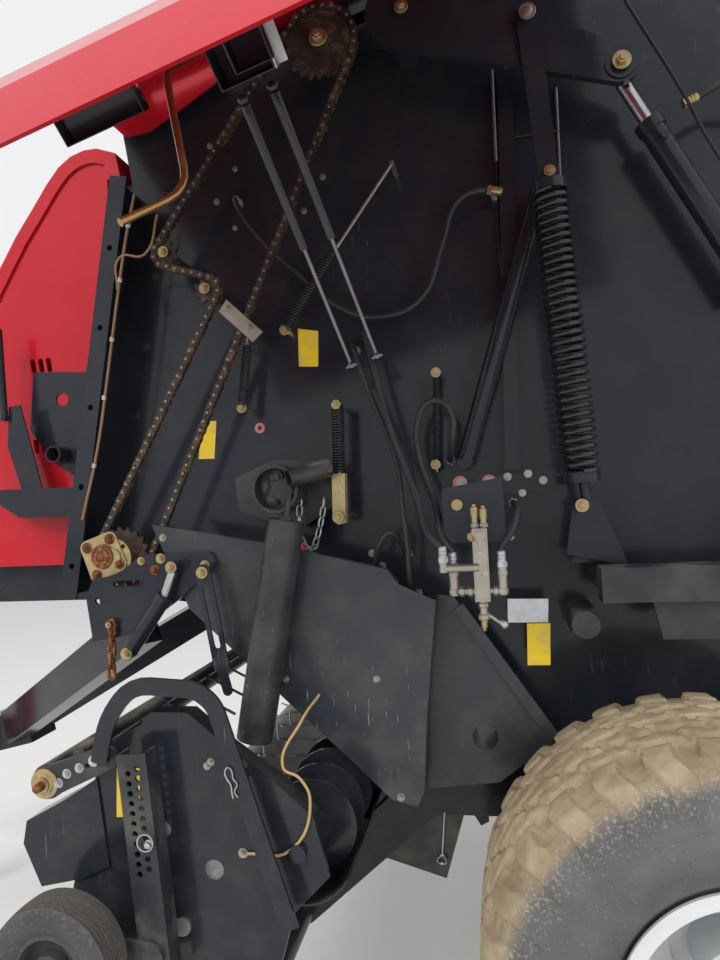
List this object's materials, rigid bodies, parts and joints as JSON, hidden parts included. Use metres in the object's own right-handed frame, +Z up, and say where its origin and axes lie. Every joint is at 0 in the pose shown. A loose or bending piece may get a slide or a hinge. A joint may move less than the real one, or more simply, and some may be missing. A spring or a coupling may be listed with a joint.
{
  "type": "round baler",
  "caption": "Tractor-drawn round baler with a variable belt chamber, side doors, tailgate, pickup with tined reel and a parking jack.",
  "frame": {"origin": "centre of the hole in the drawbar's hitch eye", "axes": "+X forwards, away from the wheels, +Y to the machine's left, +Z up along the eye's hole"},
  "size_m": [4.3308, 2.937, 2.975],
  "materials": {
    "slate_paint": "gloss",
    "red_paint": "gloss",
    "zinc_plate": "satin",
    "bright_steel": "satin",
    "spring_steel": "satin",
    "rusty_chain": "matte",
    "rim_paint": "satin",
    "tyre_rubber": "matte",
    "belt_rubber": "matte",
    "lamp_lens": "gloss"
  },
  "bodies": {
    "root": {"side_walls": "slate_paint", "chassis": "slate_paint", "drawbar": "slate_paint", "jack_tube": "slate_paint", "gearbox": "slate_paint", "cross_shaft": "zinc_plate", "front_box": "red_paint", "front_hood": "red_paint", "roof": "red_paint", "lower_shields": "slate_paint", "side_beams": "slate_paint", "tension_arms": "slate_paint", "spring_links": "slate_paint", "main_springs": "spring_steel", "spring_anchors": "zinc_plate", "tension_cylinders": "bright_steel", "drive_chain": "rusty_chain", "chain_sprockets": "bright_steel", "chain_tensioner": "zinc_plate", "small_springs": "zinc_plate", "clutch_hub": "slate_paint", "support_tube": "slate_paint", "valve_block": "zinc_plate", "wall_brackets": "slate_paint", "held_hoses": "belt_rubber", "front_belts": "belt_rubber", "chamber_rollers": "bright_steel", "lift_rams": "slate_paint", "safety_chain": "rusty_chain"},
    "wheel_left": {"tyre_left": "tyre_rubber", "rim_left": "rim_paint"},
    "wheel_right": {"tyre_right": "tyre_rubber", "rim_right": "rim_paint"},
    "tailgate": {"gate_walls": "slate_paint", "gate_cover": "red_paint", "gate_belts": "belt_rubber", "gate_rollers": "bright_steel", "tail_lamps": "lamp_lens"},
    "gate_ram_barrels": {"gate_barrels": "slate_paint"},
    "gate_ram_rods": {"gate_rods": "bright_steel"},
    "door_left": {"door_left": "red_paint", "door_left_fittings": "slate_paint"},
    "left_strut_rods": {"strut_rods_left": "bright_steel"},
    "left_strut_barrels": {"strut_barrels_left": "slate_paint"},
    "door_right": {"door_right": "red_paint", "door_right_fittings": "slate_paint"},
    "right_strut_rods": {"strut_rods_right": "bright_steel"},
    "right_strut_barrels": {"strut_barrels_right": "slate_paint"},
    "pickup": {"pickup_frame": "slate_paint", "stripper_bands": "bright_steel", "hoop_guards": "slate_paint", "gauge_legs": "slate_paint"},
    "reel": {"reel": "zinc_plate"},
    "side_augers": {"side_augers": "slate_paint"},
    "windguard": {"windguard": "slate_paint"},
    "gauge_wheel_left": {"gauge_wheel_left": "tyre_rubber"},
    "gauge_wheel_right": {"gauge_wheel_right": "tyre_rubber"},
    "feed_rotor": {"feed_rotor": "slate_paint"},
    "jack_leg": {"jack_leg": "bright_steel"}
  },
  "joints": [
    {"name": "wheel_left_spin", "type": "hinge", "parent": "root", "child": "wheel_left", "pos_m": [-2.86, 0.985, -0.005], "axis": [0, 1, 0], "continuous": true},
    {"name": "wheel_right_spin", "type": "hinge", "parent": "root", "child": "wheel_right", "pos_m": [-2.86, -0.985, -0.005], "axis": [0, 1, 0], "continuous": true},
    {"name": "tailgate_lift", "type": "hinge", "parent": "root", "child": "tailgate", "pos_m": [-3.095, 0, 2.415], "axis": [0, 1, 0], "range_deg": [0, 60]},
    {"name": "gate_ram_swing", "type": "hinge", "parent": "root", "child": "gate_ram_barrels", "pos_m": [-3.09, 0, 0.82], "axis": [0, 1, 0], "range_deg": [-2.5, 0]},
    {"name": "gate_ram_stroke", "type": "slide", "parent": "gate_ram_barrels", "child": "gate_ram_rods", "axis": [-0.2652, 0, 0.9642], "range_m": [0, 0.5105]},
    {"name": "door_left_swing", "type": "hinge", "parent": "root", "child": "door_left", "pos_m": [-1.84, 0.7, 2.20933], "axis": [0.9641, 0, -0.2656], "range_deg": [-40.2, 0]},
    {"name": "left_strut_swing", "type": "hinge", "parent": "root", "child": "left_strut_rods", "pos_m": [-2.164, 0.78, 1.272], "axis": [0.9641, 0, -0.2656], "range_deg": [0, 39.5]},
    {"name": "left_strut_stroke", "type": "slide", "parent": "left_strut_rods", "child": "left_strut_barrels", "axis": [0.232, 0.4874, 0.8418], "range_m": [-0.2162, 0]},
    {"name": "door_right_swing", "type": "hinge", "parent": "root", "child": "door_right", "pos_m": [-1.84, -0.7, 2.20933], "axis": [-0.9641, 0, 0.2656], "range_deg": [0, 40.2]},
    {"name": "right_strut_swing", "type": "hinge", "parent": "root", "child": "right_strut_rods", "pos_m": [-2.164, -0.78, 1.272], "axis": [-0.9641, 0, 0.2656], "range_deg": [-39.5, 0]},
    {"name": "right_strut_stroke", "type": "slide", "parent": "right_strut_rods", "child": "right_strut_barrels", "axis": [0.2614, 0.1781, 0.9487], "range_m": [0, 0.2162]},
    {"name": "pickup_lift", "type": "hinge", "parent": "root", "child": "pickup", "pos_m": [-2.33, 0, 0.22], "axis": [0, 1, 0], "range_deg": [0, 31]},
    {"name": "reel_spin", "type": "hinge", "parent": "pickup", "child": "reel", "pos_m": [-1.76, 0, 0.04], "axis": [0, 1, 0], "continuous": true},
    {"name": "auger_spin", "type": "hinge", "parent": "pickup", "child": "side_augers", "pos_m": [-2.025, 0, 0.208], "axis": [0, 1, 0], "continuous": true},
    {"name": "windguard_swing", "type": "hinge", "parent": "pickup", "child": "windguard", "pos_m": [-1.61, 0, 0.4], "axis": [0, 1, 0], "range_deg": [-40, 0]},
    {"name": "gauge_left_spin", "type": "hinge", "parent": "pickup", "child": "gauge_wheel_left", "pos_m": [-1.565, 1.2245, 0.043], "axis": [0, 1, 0], "continuous": true},
    {"name": "gauge_right_spin", "type": "hinge", "parent": "pickup", "child": "gauge_wheel_right", "pos_m": [-1.565, -1.2245, 0.043], "axis": [0, 1, 0], "continuous": true},
    {"name": "rotor_spin", "type": "hinge", "parent": "root", "child": "feed_rotor", "pos_m": [-2.33, 0, 0.22], "axis": [0, 1, 0], "continuous": true},
    {"name": "jack_stroke", "type": "slide", "parent": "root", "child": "jack_leg", "axis": [0, 0, 1], "range_m": [0, 0.45]}
  ],
  "couplings": [
    {"joint": "gate_ram_swing", "follows": "tailgate_lift", "ratio": -0.04},
    {"joint": "gate_ram_stroke", "follows": "tailgate_lift", "m_per_rad": 0.4871},
    {"joint": "left_strut_swing", "follows": "door_left_swing", "ratio": -0.98083},
    {"joint": "left_strut_stroke", "follows": "door_left_swing", "m_per_rad": 0.30805},
    {"joint": "right_strut_swing", "follows": "door_right_swing", "ratio": -0.98083},
    {"joint": "right_strut_stroke", "follows": "door_right_swing", "m_per_rad": 0.30805}
  ]
}
